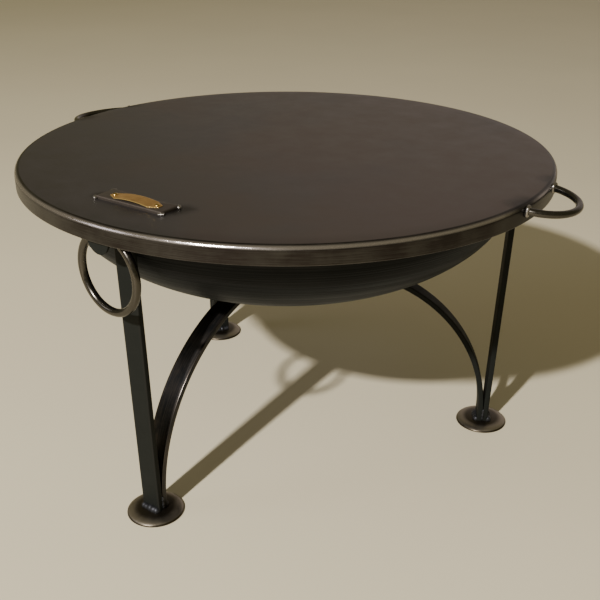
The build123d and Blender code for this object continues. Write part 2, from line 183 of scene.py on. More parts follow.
def two_tone(tree: Tree, patterns: Iterable[tuple[Feed, float]], offset: float, low: float, high: float,
             colours: tuple[str, str]) -> bpy.types.Node:
    """Mixes two colours by a sum of patterns, eased from the first at low to the second at high.

    Args:
        tree: The material's nodes.
        patterns: Each pattern with its weight in the sum.
        offset: What the sum starts from.
        low: Sum that gives the first colour.
        high: Sum that gives the second colour.
        colours: The two colours.

    Returns:
        The node that holds the mixed colour.
    """
    total: Any = offset
    for pattern, weight in patterns:
        total = add_node(tree, "Math", {0: pattern, 1: weight, 2: total}, operation="MULTIPLY_ADD")
    part = add_node(tree, "MapRange", {"Value": total, "From Min": low, "From Max": high},
                    interpolation_type="SMOOTHSTEP")
    return add_node(tree, "Mix", {0: part, 6: srgb(colours[0]), 7: srgb(colours[1])}, data_type="RGBA")


def worn_corners(tree: Tree, tone: Any, pattern: Feed, low: float, high: float,
                 edge: str) -> tuple[bpy.types.Node, bpy.types.Node]:
    """Brightens rubbed corners: the wear times 1 plus the pattern, eased between low and high.

    Args:
        tree: The material's nodes.
        tone: The colour before, or what feeds it.
        pattern: The pattern that frays the corners.
        low: Where the worn colour starts.
        high: Where it is full.
        edge: The worn colour.

    Returns:
        The nodes that hold the colour and the worn part.
    """
    wear = add_node(tree, "Attribute", attribute_name="wear").outputs["Fac"]
    worn = add_node(tree, "Math", {0: wear, 1: pattern, 2: wear}, operation="MULTIPLY_ADD")
    worn = add_node(tree, "MapRange", {"Value": worn, "From Min": low, "From Max": high},
                    interpolation_type="SMOOTHSTEP")
    return add_node(tree, "Mix", {0: worn, 6: tone, 7: srgb(edge)}, data_type="RGBA"), worn


def heat_blooms(tree: Tree, place: Feed, mottle: Feed, colour: Feed, tint: str,
                spots: Iterable[Spot]) -> Feed:
    """Darkens steel round its welds: each spot fades with distance, and the mottle makes it ragged.

    Args:
        tree: The material's nodes.
        place: Object coordinates.
        mottle: The pattern that frays the spots.
        colour: The steel's colour before.
        tint: Colour in the middle of a spot.
        spots: Middle and radius of each spot.

    Returns:
        The steel's colour with the spots.
    """
    for x, y, z, radius in spots:
        gap = add_node(tree, "VectorMath", {0: place, 1: (x, y, z)}, operation="DISTANCE")
        ragged = add_node(tree, "Math", {0: mottle, 1: -radius * 0.9, 2: gap}, operation="MULTIPLY_ADD")
        mask = add_node(tree, "MapRange", {
            "Value": ragged, "From Min": 0.55 * radius, "From Max": -0.25 * radius, "To Max": 0.92},
            interpolation_type="SMOOTHSTEP")
        colour = add_node(tree, "Mix", {0: mask, 6: colour, 7: srgb(tint)}, data_type="RGBA")
    return colour


# ---------------------------------------------------------------- finishes
@dataclass(frozen=True)
class WaxedSheet:
    """Hot-rolled mild steel sheet, degreased, waxed and buffed.

    The mill scale gives a warm brown-grey tone in broad clouds, and towards one side it drifts to a cooler
    grey as a painted reflection of the room; the wax gives a soft sheen, and the heat of each weld leaves a
    dark bloom round it.
    """

    name: str = "waxed_mild_steel_sheet"
    warm: str = "#4e4541"
    cool: str = "#494647"
    bloom: str = "#1f1b1a"
    # Direction in object space towards which the sheet turns cooler: a painted reflection, not a tone of the
    # steel.
    painted_reflection_towards: Point = (-0.33, -0.28, 0.0)
    cloud_mm: float = 260.0
    mottle_mm: float = 34.0
    grain_mm: float = 1.6
    blooms: tuple[Spot, ...] = ()

    def material(self) -> Material:
        """Builds the material: clouds, a painted reflection that cools one side, mottle, rolling grain and
        weld blooms.
        """
        mat, tree, place = start_material(self.name)
        cloud = add_node(tree, "TexNoise", {
            "Vector": place, "Scale": per_metre(self.cloud_mm), "Detail": 3.0, "Roughness": 0.55})
        # Painted reflection: the clouds lean to the cool grey towards one side of the lid.
        drift = add_node(tree, "VectorMath", {0: place, 1: self.painted_reflection_towards}, operation="DOT_PRODUCT")
        clouds = add_node(tree, "Math", {0: cloud, 1: drift}, operation="ADD")
        cloud_mix = add_node(tree, "MapRange", {"Value": clouds, "From Min": 0.35, "From Max": 0.65},
                             interpolation_type="SMOOTHSTEP")
        tone = add_node(tree, "Mix", {0: cloud_mix, 6: srgb(self.warm), 7: srgb(self.cool)}, data_type="RGBA")
        mottle = add_node(tree, "TexNoise", {
            "Vector": place, "Scale": per_metre(self.mottle_mm), "Detail": 5.0, "Roughness": 0.6})
        shade = add_node(tree, "MapRange", {
            "Value": mottle, "From Min": 0.3, "From Max": 0.7, "To Min": 0.86, "To Max": 1.1})
        tone = add_node(tree, "Mix", {0: 1.0, 6: tone, 7: shade}, data_type="RGBA", blend_type="MULTIPLY")
        stretch = add_node(tree, "Mapping", {"Vector": place, "Scale": (1.0, 0.05, 1.0)})
        grain = add_node(tree, "TexNoise", {
            "Vector": stretch, "Scale": per_metre(self.grain_mm), "Detail": 2.0})
        rough = add_node(tree, "MapRange", {
            "Value": mottle, "From Min": 0.3, "From Max": 0.7, "To Min": 0.39, "To Max": 0.48})
        soft = add_node(tree, "Bump", {"Height": cloud, "Strength": 0.16, "Distance": 0.004})
        fine = add_node(tree, "Bump", {"Height": grain, "Strength": 0.12, "Distance": 0.0002, "Normal": soft})
        end_material(tree, Metallic=0.82, Roughness=rough, Normal=fine,
                     Base_Color=heat_blooms(tree, place, mottle, tone, self.bloom, self.blooms))
        return mat


@dataclass(frozen=True)
class BrushedSheet:
    """Metal brushed along its length with a flap wheel, then waxed.

    Fine streaks run along the piece (the map's first direction) over slower patches of two tones,
    and the corners are polished bright by the wheel.
    """

    name: str
    dark: str
    light: str
    edge: str
    streak_mm: float = 0.9
    streak_length_mm: float = 60.0
    patch_mm: float = 45.0
    metallic: float = 0.9
    rough_low: float = 0.3
    rough_high: float = 0.46
    rough_worn: float = 0.17
    groove: float = 0.0003
    # Colour in the middle of each weld spot; on the lid's skirt the spots are also painted shade.
    bloom: str = "#120f0e"
    blooms: tuple[Spot, ...] = ()

    def material(self) -> Material:
        """Builds the material: streaks along the piece, patches, weld blooms and polished corners."""
        mat, tree, place = start_material(self.name)
        streaks_at = add_node(tree, "Mapping", {
            "Vector": add_node(tree, "UVMap", uv_map="surface"),
            "Scale": (per_metre(self.streak_length_mm), per_metre(self.streak_mm), 1.0)})
        streak = add_node(tree, "TexNoise", {
            "Vector": streaks_at, "Scale": 1.0, "Detail": 4.0, "Roughness": 0.65})
        patch = add_node(tree, "TexNoise", {
            "Vector": place, "Scale": per_metre(self.patch_mm), "Detail": 4.0, "Roughness": 0.6})
        tone = two_tone(tree, ((streak, 0.6), (patch, 0.4)), 0.0, 0.4, 0.6, (self.dark, self.light))
        tone, worn = worn_corners(tree, tone, streak, 0.25, 1.3, self.edge)
        rough = add_node(tree, "MapRange", {
            "Value": streak, "From Min": 0.3, "From Max": 0.7,
            "To Min": self.rough_low, "To Max": self.rough_high})
        rough = add_node(tree, "Mix", {0: worn, 2: rough, 3: self.rough_worn}, data_type="FLOAT")
        bump = add_node(tree, "Bump", {"Height": streak, "Strength": 0.35, "Distance": self.groove})
        end_material(tree, Metallic=self.metallic, Roughness=rough, Normal=bump,
                     Base_Color=heat_blooms(tree, place, patch, tone, self.bloom, self.blooms))
        return mat


@dataclass(frozen=True)
class SpunSheet:
    """Mild steel dish spun over a former, oiled.

    The spinning tool leaves rings round the dish (across the map's second direction), some fine
    and close, some broad, over a near-black scale. The oil film dims the sheen at a glance.
    """

    name: str = "spun_mild_steel"
    dark: str = "#080908"
    light: str = "#1d1d1d"
    glance: str = "#cdd1d8"
    ring_mm: float = 2.2
    band_mm: float = 11.0
    patch_mm: float = 90.0

    def material(self) -> Material:
        """Builds the material: fine and broad rings, slow patches and a ringed bump."""
        mat, tree, place = start_material(self.name)
        across = add_node(tree, "SeparateXYZ", {0: add_node(tree, "UVMap", uv_map="surface")})
        round_it = add_node(tree, "SeparateXYZ", {0: place})
        where = add_node(tree, "CombineXYZ", {
            "X": round_it.outputs["X"], "Y": round_it.outputs["Y"], "Z": across.outputs["Y"]})
        fine_at = add_node(tree, "Mapping", {"Vector": where, "Scale": (3.0, 3.0, per_metre(self.ring_mm))})
        fine = add_node(tree, "TexNoise", {"Vector": fine_at, "Scale": 1.0, "Detail": 3.0, "Roughness": 0.6})
        band_at = add_node(tree, "Mapping", {"Vector": where, "Scale": (1.5, 1.5, per_metre(self.band_mm))})
        band = add_node(tree, "TexNoise", {"Vector": band_at, "Scale": 1.0, "Detail": 2.0})
        patch = add_node(tree, "TexNoise", {
            "Vector": place, "Scale": per_metre(self.patch_mm), "Detail": 4.0, "Roughness": 0.6})
        tone = two_tone(tree, ((fine, 0.5), (band, 0.4), (patch, 0.15)), -0.05, 0.38, 0.62,
                        (self.dark, self.light))
        rough = add_node(tree, "MapRange", {
            "Value": band, "From Min": 0.3, "From Max": 0.7, "To Min": 0.4, "To Max": 0.55})
        broad = add_node(tree, "Bump", {"Height": band, "Strength": 0.5, "Distance": 0.0012})
        bump = add_node(tree, "Bump", {"Height": fine, "Strength": 0.6, "Distance": 0.0008, "Normal": broad})
        end_material(tree, Metallic=0.8, Specular_Tint=srgb(self.glance), Base_Color=tone,
                     Roughness=rough, Normal=bump)
        return mat


@dataclass(frozen=True)
class MillBar:
    """Steel bar or weld metal in one even tone, whether oiled scale, heat tint or a buff.

    Slow patches make it more and less rough, fine pits break the surface, and corners rub through
    to the edge colour.
    """

    name: str
    tone: str
    edge: str
    patch_mm: float = 24.0
    pit_mm: float = 1.8
    metallic: float = 0.6
    rough_low: float = 0.4
    rough_high: float = 0.58
    pit_depth: float = 0.0003
    shine: float = 0.12

    def material(self) -> Material:
        """Builds the material: one tone, rubbed corners, an uneven sheen and a pitted bump."""
        mat, tree, place = start_material(self.name)
        patch = add_node(tree, "TexNoise", {
            "Vector": place, "Scale": per_metre(self.patch_mm), "Detail": 5.0, "Roughness": 0.62,
            "Distortion": 0.4})
        pits = add_node(tree, "TexNoise", {
            "Vector": place, "Scale": per_metre(self.pit_mm), "Detail": 3.0, "Roughness": 0.6})
        colour, _ = worn_corners(tree, srgb(self.tone), patch, 0.35, 1.5, self.edge)
        rough = add_node(tree, "MapRange", {
            "Value": patch, "From Min": 0.3, "From Max": 0.7,
            "To Min": self.rough_low, "To Max": self.rough_high})
        bump = add_node(tree, "Bump", {"Height": pits, "Strength": 0.3, "Distance": self.pit_depth})
        end_material(tree, Metallic=self.metallic, Specular_IOR_Level=self.shine, Base_Color=colour,
                     Roughness=rough, Normal=bump)
        return mat


@dataclass(frozen=True)
class StudioFloor:
    """Pale painted concrete, plain, with only the faintest unevenness."""

    name: str = "pale_floor_paint"
    paint: str = "#d1c8ae"
    drift_mm: float = 700.0

    def material(self) -> Material:
        """Builds the material: one paint with a slight drift in brightness."""
        mat, tree, place = start_material(self.name)
        drift = add_node(tree, "TexNoise", {
            "Vector": place, "Scale": per_metre(self.drift_mm), "Detail": 2.0})
        shade = add_node(tree, "MapRange", {"Value": drift, "To Min": 0.94, "To Max": 1.04})
        tone = add_node(tree, "Mix", {0: 1.0, 6: srgb(self.paint), 7: shade}, data_type="RGBA",
                        blend_type="MULTIPLY")
        end_material(tree, Roughness=0.55, Base_Color=tone)
        return mat


# ---------------------------------------------------------------- shapes
@dataclass
class Skin:
    """A grid of points joined into quads: rows run along the piece, columns across it.

    wear is 0 on plain surface and 1 where corners are rubbed, one value for each point; on the lid's bend and
    the feet's rims it also carries painted highlight.
    """

    points: np.ndarray
    loop_rows: bool = False
    loop_columns: bool = True
    wear: Optional[np.ndarray] = None

    def arrays(self) -> tuple[np.ndarray, np.ndarray, np.ndarray, np.ndarray]:
        """Works out vertices, quads, the map's coordinates and the wear.

        The map's first number is the distance along the longest column and its second the
        distance along the longest row, both in metres, so that patterns keep their real size.

        Returns:
            Vertices, quads, map coordinates of each quad's corners, and wear of each vertex.
        """
        rows, columns = self.points.shape[:2]
        i, j = np.meshgrid(np.arange(rows - (not self.loop_rows)),
                           np.arange(columns - (not self.loop_columns)), indexing="ij")
        corner_i = np.stack([i, i + 1, i + 1, i], -1).reshape(-1, 4)
        corner_j = np.stack([j, j, j + 1, j + 1], -1).reshape(-1, 4)
        quads = (corner_i % rows) * columns + corner_j % columns
        down = np.linalg.norm(np.roll(self.points, -1, 0) - self.points, axis=-1)
        over = np.linalg.norm(np.roll(self.points, -1, 1) - self.points, axis=-1)
        along = np.concatenate([[0.0], np.cumsum(down[:, down.sum(0).argmax()])])
        across = np.concatenate([[0.0], np.cumsum(over[over.sum(1).argmax()])])
        places = np.stack([along[corner_i], across[corner_j]], -1)
        wear = np.broadcast_to(0.0 if self.wear is None else self.wear, (rows, columns))
        return self.points.reshape(-1, 3), quads, places.reshape(-1, 2), wear.reshape(-1)


def arc(centre: Pair, radii: Pair, start: float, end: float,
        count: int) -> np.ndarray:
    """Points of an ellipse's arc: centre plus (radius x cos, radius y sin) of evenly spaced angles.

    Args:
        centre: Middle of the ellipse.
        radii: Its two half axes.
        start: First angle in degrees.
        end: Last angle in degrees.
        count: Number of points.

    Returns:
        An array of points, two numbers each.
    """
    t = np.radians(np.linspace(start, end, count))
    return np.stack([centre[0] + radii[0] * np.cos(t), centre[1] + radii[1] * np.sin(t)], -1)


def run(start: Pair, end: Pair, count: int) -> np.ndarray:
    """Evenly spaced points of a straight run, without its two ends."""
    return np.linspace(start, end, count + 2)[1:-1]


def rounded_section(half_x: float, half_y: float, power: float, count: int) -> np.ndarray:
    """Section of a rolled bar: a superellipse.

    On it, x over its half width and y over its own, each to the power, add to 1.

    Args:
        half_x: Half the width.
        half_y: Half the thickness.
        power: 2 for an ellipse, 8 or more for a flat bar with rolled corners.
        count: Number of points.

    Returns:
        An array of points, two numbers each.
    """
    t = np.linspace(0, 2 * np.pi, count, endpoint=False)
    c, s = np.cos(t), np.sin(t)
    return np.stack([
        half_x * np.sign(c) * np.abs(c) ** (2 / power), half_y * np.sign(s) * np.abs(s) ** (2 / power)], -1)


def turned(profile: np.ndarray, centre: Pair = (0.0, 0.0), steps: int = 240,
           closed: bool = True, wear: Optional[np.ndarray] = None) -> Skin:
    """Turns a profile of (radius, height) round an upright axis.

    Each point's x and y are the axis's plus the radius times the turn's cosine and sine.

    Args:
        profile: Points of the profile.
        centre: Where the axis stands.
        steps: Number of copies round the axis.
        closed: Whether the profile is a closed loop; an open one starts and ends on the axis.
        wear: Wear of each profile point.

    Returns:
        The surface.
    """
    a = np.linspace(0, 2 * np.pi, steps, endpoint=False) + np.pi / 2
    radius, height = profile[:, 0], profile[:, 1]
    points = np.stack([
        centre[0] + np.outer(np.cos(a), radius), centre[1] + np.outer(np.sin(a), radius),
        np.broadcast_to(height, (steps, len(radius)))], -1)
    return Skin(points, True, closed, None if wear is None else wear[None, :])


def carried(path: np.ndarray, across: np.ndarray, up: np.ndarray, section: np.ndarray,
            scale: Optional[np.ndarray] = None, loop: bool = False,
            wear: Optional[np.ndarray] = None) -> Skin:
    """Carries a section along a path: path point plus across times its x plus up times its y.

    Args:
        path: Points of the path.
        across: Unit vector of the section's x, alike for all path points or one for each.
        up: Unit vector of the section's y, alike or one for each too.
        section: The section, alike for all path points or one for each.
        scale: Size of the section at each path point; 0 closes an end.
        loop: Whether the path closes on itself.
        wear: Wear of each point of the section.

    Returns:
        The surface.
    """
    size = np.ones(len(path)) if scale is None else scale
    shape = np.broadcast_to(section, (len(path), *section.shape[-2:])) * size[:, None, None]
    across, up = (np.broadcast_to(way, path.shape)[:, None] for way in (across, up))
    points = path[:, None] + across * shape[..., :1] + up * shape[..., 1:]
    return Skin(points, loop, True, wear)


def capped(path: np.ndarray, *others: np.ndarray) -> tuple[np.ndarray, ...]:
    """Repeats the first and last row of each array twice, for the rows that close the ends."""
    picks = np.concatenate([[0, 0], np.arange(len(path)), [len(path) - 1] * 2])
    return tuple(values[picks] for values in (path, *others))


def cap_scale(count: int, chamfer: float = 0.93) -> np.ndarray:
    """Section sizes that close both ends flat with a small chamfer."""
    return np.concatenate([[0.0, chamfer], np.ones(count), [chamfer, 0.0]])


def ripple_bead(path: np.ndarray, across: np.ndarray, up: np.ndarray, radius: float, pitch: float,
                loop: bool = False, seed: int = 1, flat: float = 1.0) -> Skin:
    """A run of weld: a round bead whose radius swells with each pool of metal.

    The radius is the bead's own times 1 + 0.06 sin(2 pi distance / pitch + 1.3 cos(angle)), which
    bows the ripples, times a slow uneven factor. Towards open ends it falls to 0 as the square
    root of 1 minus the sixth power of the way from the middle to the end.

    Args:
        path: Points of the bead's middle.
        across: Unit vector across it, alike for all points or one for each.
        up: Unit vector upwards from it, alike or one for each too.
        radius: Radius of the bead.
        pitch: Distance from ripple to ripple.
        loop: Whether the bead closes on itself.
        seed: Picks the unevenness.
        flat: Height of the bead over its width.

    Returns:
        The surface.
    """
    steps = np.linalg.norm(np.roll(path, -1, 0) - path, axis=-1)
    distance = np.concatenate([[0.0], np.cumsum(steps)])[:len(path)]
    total = steps.sum() if loop else distance[-1]
    waves = max(1, round(total / pitch))
    phase = 2 * np.pi * waves * distance / total
    angle = np.linspace(0, 2 * np.pi, 20, endpoint=False)
    rng = np.random.default_rng(seed)
    slow = sum(
        a * np.sin(k * 2 * np.pi * distance / total + p)
        for k, a, p in zip((1, 2, 3, 5), rng.uniform(0.03, 0.07, 4), rng.uniform(0, 6.28, 4)))
    swell = 1 + 0.06 * np.sin(phase[:, None] + 1.3 * np.cos(angle)[None]) + slow[:, None]
    ends = np.ones(len(path)) if loop else (1 - np.abs(2 * distance / total - 1) ** 6) ** 0.5
    size = radius * swell * ends[:, None]
    section = np.stack([np.cos(angle), flat * np.sin(angle)], -1)[None] * size[..., None]
    return carried(path, across, up, section, loop=loop, wear=np.full((1, len(angle)), 0.5))


def make_piece(name: str, skins: Iterable[Skin], finish: Material, body: str,
               stands_for: Iterable[str], crease: float = 38.0) -> bpy.types.Object:
    """Builds one object from its surfaces, dresses it and lets it ride on its body.

    Args:
        name: The piece's name.
        skins: Its surfaces.
        finish: Its material.
        body: The body that it rides on.
        stands_for: The CAD nodes that it replaces.
        crease: Angle in degrees above which an edge stays sharp.

    Returns:
        The object.
    """
    points, quads, places, wear = zip(*(skin.arrays() for skin in skins))
    firsts = np.cumsum([0, *map(len, points[:-1])])
    mesh = bpy.data.meshes.new(name)
    mesh.from_pydata(np.concatenate(points), [],
                     np.concatenate([corners + first for corners, first in zip(quads, firsts)]))
    own_map = mesh.uv_layers.new(name="surface")
    own_map.uv.foreach_set("vector", np.concatenate(places).astype(np.float32).ravel())
    rubbed = mesh.attributes.new("wear", "FLOAT", "POINT")
    rubbed.data.foreach_set("value", np.concatenate(wear).astype(np.float32))
    work = bmesh.new()
    work.from_mesh(mesh)
    bmesh.ops.remove_doubles(work, verts=work.verts, dist=2e-6)
    bmesh.ops.dissolve_degenerate(work, edges=work.edges, dist=1e-7)
    bmesh.ops.recalc_face_normals(work, faces=work.faces)
    work.to_mesh(mesh)
    work.free()
    mesh.shade_smooth()
    mesh.set_sharp_from_angle(angle=math.radians(crease))
    mesh.materials.append(finish)
    piece = bpy.data.objects.new(name, mesh)
    bpy.context.scene.collection.objects.link(piece)
    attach(piece, body)
    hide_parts(*stands_for)
    LOG.info("%s: %d faces on %s, stands for %s", name, len(mesh.polygons), body, ", ".join(stands_for))
    return piece


def dress(node: str, finish: Material) -> None:
    """Gives a CAD node its material and leaves its shape alone."""
    held = frame["nodes"][node]
    for item in [held, *held.children_recursive]:
        if item.type == "MESH":
            item.data.materials.clear()
            item.data.materials.append(finish)
    LOG.info("%s: CAD shape, %s", node, finish.name)


# ---------------------------------------------------------------- sub-assemblies
@dataclass
class Bowl:
    """The spun dish, its upright wall and its flat rim."""

    radius: float = 0.3115
    dish: float = 0.147
    wall_foot: float = 0.3905
    sheet: float = 0.003
    rim_top: float = 0.419
    rim_radius: float = 0.350
    bend: float = 0.004
    drain: float = 0.0075
    edge_round: float = 0.0012
    edge_gap: float = 0.0008

    def underside(self, radius: np.ndarray) -> np.ndarray:
        """Height of the dish's outer face: wall foot less the ellipse's depth at that radius."""
        return self.wall_foot - self.dish * np.sqrt(np.clip(1 - (radius / self.radius) ** 2, 0, 1))

    def profile(self) -> np.ndarray:
        """Closed profile: outer ellipse, wall, bend and rim, and the same a sheet's thickness inside."""
        inner = self.radius - self.sheet
        inner_dish = self.dish - self.sheet
        rim_under = self.rim_top - self.sheet
        start_out = -90 + math.degrees(math.asin(self.drain / self.radius))
        start_in = -90 + math.degrees(math.asin(self.drain / inner))
        edge = self.sheet / 2
        flat_end = self.rim_radius - self.edge_gap
        return np.concatenate([
            arc((0, self.wall_foot), (self.radius, self.dish), start_out, 0, 90),
            run((self.radius, self.wall_foot), (self.radius, rim_under - self.bend), 4),
            arc((self.radius + self.bend, rim_under - self.bend), (self.bend, self.bend), 180, 90, 8),
            run((self.radius + self.bend, rim_under), (flat_end, rim_under), 3),
            arc((self.rim_radius - self.edge_round, rim_under + edge), (self.edge_round, edge), -90, 90, 9),
            run((flat_end, self.rim_top), (self.radius + self.bend, self.rim_top), 3),
            arc((self.radius + self.bend, rim_under - self.bend),
                (self.bend + self.sheet, self.bend + self.sheet), 90, 180, 10),
            run((inner, rim_under - self.bend), (inner, self.wall_foot), 4),
            arc((0, self.wall_foot), (inner, inner_dish), 0, start_in, 90)])

    def build(self, finish: Material) -> None:
        """Makes the bowl as one turned surface in place of the dish and the rim ring."""
        make_piece("bowl_spinning", [turned(self.profile(), steps=288)], finish, "pit",
                   ["bowl", "rim_ring"])


@dataclass
class Supports:
    """Legs, braces, disc feet and their welds."""

    bowl: Bowl
    width: float = 0.029
    thickness: float = 0.008
    lean: float = math.radians(1.84)
    spring: float = 0.016
    meets_bowl: float = 0.100
    tail: float = 0.020
    foot_radius: float = 0.0374
    foot_rise: float = 0.008
    foot_edge: float = 0.003
    foot_roll: float = 0.013
    rim_under: float = 0.416
    ripple: float = 0.011
    outer_bead: Pair = (0.030, 0.0052)
    inner_bead: Pair = (0.028, 0.0050)
    top_bead: Pair = (0.026, 0.0033)
    brace_bead: Pair = (0.026, 0.0028)
    tack_span: Pair = (0.008, 0.027)
    tack_bead: Pair = (0.0018, 0.006)
    weld_shift: float = 0.0006
    top_sink: float = 0.0008
    brace_sink: float = 0.0014
    places: tuple[tuple[str, Place], ...] = (
        ("front", Place.LEG_FRONT), ("right", Place.LEG_RIGHT), ("left", Place.LEG_LEFT))

    def inner_face(self, height: Any) -> Any:
        """Radius of a leg's inner face: the wall's foot plus the lean times the height above it."""
        return self.bowl.radius + math.tan(self.lean) * (height - self.bowl.wall_foot)

    @property
    def foot_circle(self) -> float:
        """Radius of the circle that the feet stand on."""
        return self.inner_face(self.foot_rise)

    def bar_section(self) -> tuple[np.ndarray, np.ndarray]:
        """Section of the flat bar, and its wear: high where both x and y are near their corners."""
        section = rounded_section(self.width / 2, self.thickness / 2, 9.0, 64)
        near = np.abs(section[:, 0]) / (self.width / 2) * np.abs(section[:, 1]) / (self.thickness / 2)
        return section, np.clip((near - 0.66) / 0.3, 0, 1)[None]

    def leg(self, place: Place) -> Skin:
        """A straight bar: the path climbs with the lean, half a thickness outside the inner face."""
        height = np.linspace(self.foot_edge + 0.001, self.rim_under - 0.0002, 12)
        reach = self.inner_face(height) + self.thickness / 2 / math.cos(self.lean)
        path = reach[:, None] * place.outward + height[:, None] * UP
        out = place.outward * math.cos(self.lean) - UP * math.sin(self.lean)
        section, wear = self.bar_section()
        size = cap_scale(len(path), 0.97)
        path, = capped(path)
        return carried(path, place.around, out, section, size, wear=wear)

    def brace(self, place: Place) -> Skin:
        """A bent bar: straight beside the leg, then a circular arc to the dish's underside.

        The arc's radius is the one that leaves the leg at a tangent and passes through the point
        where the bar's outer face meets the dish. Points above the dish's underside are brought
        down to it, which cuts the bar's end to the dish.
        """
        start = np.array([self.inner_face(self.spring), self.spring])
        reach = np.array([self.meets_bowl, float(self.bowl.underside(np.array(self.meets_bowl)))]) - start
        inward = np.array([-math.cos(self.lean), math.sin(self.lean)])
        outer = float(reach @ reach / (2 * reach @ inward))
        centre = start + outer * inward
        middle = outer - self.thickness / 2
        last = math.acos((self.meets_bowl - self.tail - centre[0]) / middle)
        turn = np.linspace(-self.lean, last, 72)
        bend = centre + middle * np.stack([np.cos(turn), np.sin(turn)], -1)
        low = np.linspace(self.foot_edge + 0.001, bend[0, 1], 5)[:-1]
        straight = np.stack([self.inner_face(low) - self.thickness / 2 / math.cos(self.lean), low], -1)
        flat = np.concatenate([straight, bend])
        facing = np.concatenate([np.full(len(straight), -self.lean), turn])
        path = flat[:, :1] * place.outward + flat[:, 1:] * UP
        up = np.cos(facing)[:, None] * place.outward + np.sin(facing)[:, None] * UP
        section, wear = self.bar_section()
        size = cap_scale(len(path), 0.97)
        path, up = capped(path, up)
        skin = carried(path, place.around, up, section, size, wear=wear)
        radius = np.hypot(skin.points[..., 0], skin.points[..., 1])
        skin.points[..., 2] = np.minimum(skin.points[..., 2], self.bowl.underside(radius) + 0.0003)
        return skin

    def foot(self, place: Place) -> Skin:
        """A pressed disc: flat below, a rolled rim and a shallow dome, the cap of a large ball.

        The rim is a quarter of an ellipse from the dome's edge outwards and down, and a small
        round below it.
        """
        rise = self.foot_rise - self.foot_edge
        ball = (self.foot_radius ** 2 + rise ** 2) / (2 * rise)
        low = 0.0008
        shoulder = self.foot_radius - self.foot_roll
        reach = np.linspace(shoulder, 0.0, 24)
        dome = np.stack([reach, self.foot_rise - ball + np.sqrt(ball ** 2 - reach ** 2)], -1)
        profile = np.concatenate([
            [[0.0, 0.0]], run((0.0, 0.0), (self.foot_radius - low, 0.0), 6),
            arc((self.foot_radius - low, low), (low, low), -90, 0, 5),
            arc((shoulder, low), (self.foot_roll, dome[0, 1] - low), 4, 86, 12), dome])
        part = profile[:, 0] / self.foot_radius
        # Paler ring between half the radius and the rim: partly wear, partly a painted highlight on the
        # rolled rim.
        wear = np.clip((part - 0.5) / 0.35, 0, 1) * (1 - np.clip((part - 0.95) / 0.04, 0, 1))
        wear = wear * (profile[:, 1] > low)
        centre = self.foot_circle * place.outward
        return turned(profile, (centre[0], centre[1]), 96, False, wear)

    def straight_bead(self, place: Place, reach: float, height: float, bead: Pair,
                      seed: int) -> Skin:
        """A weld across the bar at a distance from the axis and a height; a bead is (length, radius)."""
        length, radius = bead
        s = np.linspace(-length / 2, length / 2, 56)
        path = reach * place.outward + height * UP + s[:, None] * place.around
        return ripple_bead(path, place.outward, UP, radius, self.ripple, seed=seed)

    def side_tack(self, place: Place, side: int, seed: int) -> Skin:
        """A short upright weld in the seam where the leg and the brace part, on one narrow side."""
        height = np.linspace(*self.tack_span, 40)
        path = self.inner_face(height)[:, None] * place.outward + height[:, None] * UP
        path = path + side * (self.width / 2 - self.weld_shift) * place.around
        return ripple_bead(path, place.outward, place.around * side, *self.tack_bead, seed=seed)

    def build(self, bar: Material, lit_front_brace: Material, foot: Material, weld: Material) -> None:
        """Makes the legs, the braces, the feet and the welds; the front brace gets a painted-lit finish."""
        foot_beads, top_beads, brace_beads = [], [], []
        tail = self.meets_bowl - self.tail
        for k, (name, place) in enumerate(self.places):
            make_piece(f"leg_bar_{name}", [self.leg(place)], bar, "pit", [f"leg_{name}"])
            # Painted light: the front brace takes a lighter, glossier finish as the lit one, and the side
            # braces take the dark bar as the shaded ones.
            make_piece(f"brace_bar_{name}", [self.brace(place)], lit_front_brace if place is Place.LEG_FRONT else bar,
                       "pit", [f"brace_{name}"])
            make_piece(f"foot_disc_{name}", [self.foot(place)], foot, "pit", [f"foot_{name}"])
            out = self.foot_circle + self.thickness + self.weld_shift
            inn = self.foot_circle - self.thickness - self.weld_shift
            foot_beads += [
                self.straight_bead(place, out, self.foot_rise, self.outer_bead, 10 + k),
                self.straight_bead(place, inn, self.foot_rise, self.inner_bead, 20 + k)]
            foot_beads += [self.side_tack(place, side, 50 + k) for side in (-1, 1)]
            top = self.inner_face(self.rim_under) + self.thickness
            top_beads.append(
                self.straight_bead(place, top, self.rim_under - self.top_sink, self.top_bead, 30 + k))
            under = float(self.bowl.underside(np.array(tail))) - self.brace_sink
            brace_beads.append(
                self.straight_bead(place, tail - self.weld_shift, under, self.brace_bead, 40 + k))
        make_piece("foot_weld_runs", foot_beads, weld, "pit", ["foot_welds"])
        make_piece("leg_top_weld_runs", top_beads, weld, "pit", ["leg_top_welds"])
        make_piece("brace_weld_runs", brace_beads, weld, "pit", ["brace_welds"])


@dataclass
class DropRings:
    """Two round-bar rings that hang loose in lugs under the rim."""

    radius: float = 0.047
    bar: float = 0.005
    pivot_reach: float = 0.343
    pivot_height: float = 0.403
    places: tuple[tuple[str, Place], ...] = (("front", Place.RING_FRONT), ("back", Place.RING_BACK))

    def ring(self, place: Place) -> Skin:
        """A closed ring in the upright plane of its place, its bar wavering by 1.2 percent each way."""
        t = np.linspace(0, 2 * np.pi, 144, endpoint=False)
        out = np.sin(t)[:, None] * place.around + np.cos(t)[:, None] * UP
        middle = self.pivot_reach * place.outward + (self.pivot_height - self.radius) * UP
        size = 1 - 0.012 + 0.012 * np.sin(3 * t + 0.7) * np.sin(7 * t)
        return carried(middle + self.radius * out, out, place.facing,
                       rounded_section(self.bar, self.bar, 2.0, 28), size, loop=True)

    def build(self, bar: Material, lug: Material) -> None:
        """Makes the rings and dresses their lugs."""
        for name, place in self.places:
            make_piece(f"ring_bar_{name}", [self.ring(place)], bar, f"drop_ring_{name}",
                       [f"drop_ring_{name}"])
            dress(f"ring_lug_{name}", lug)


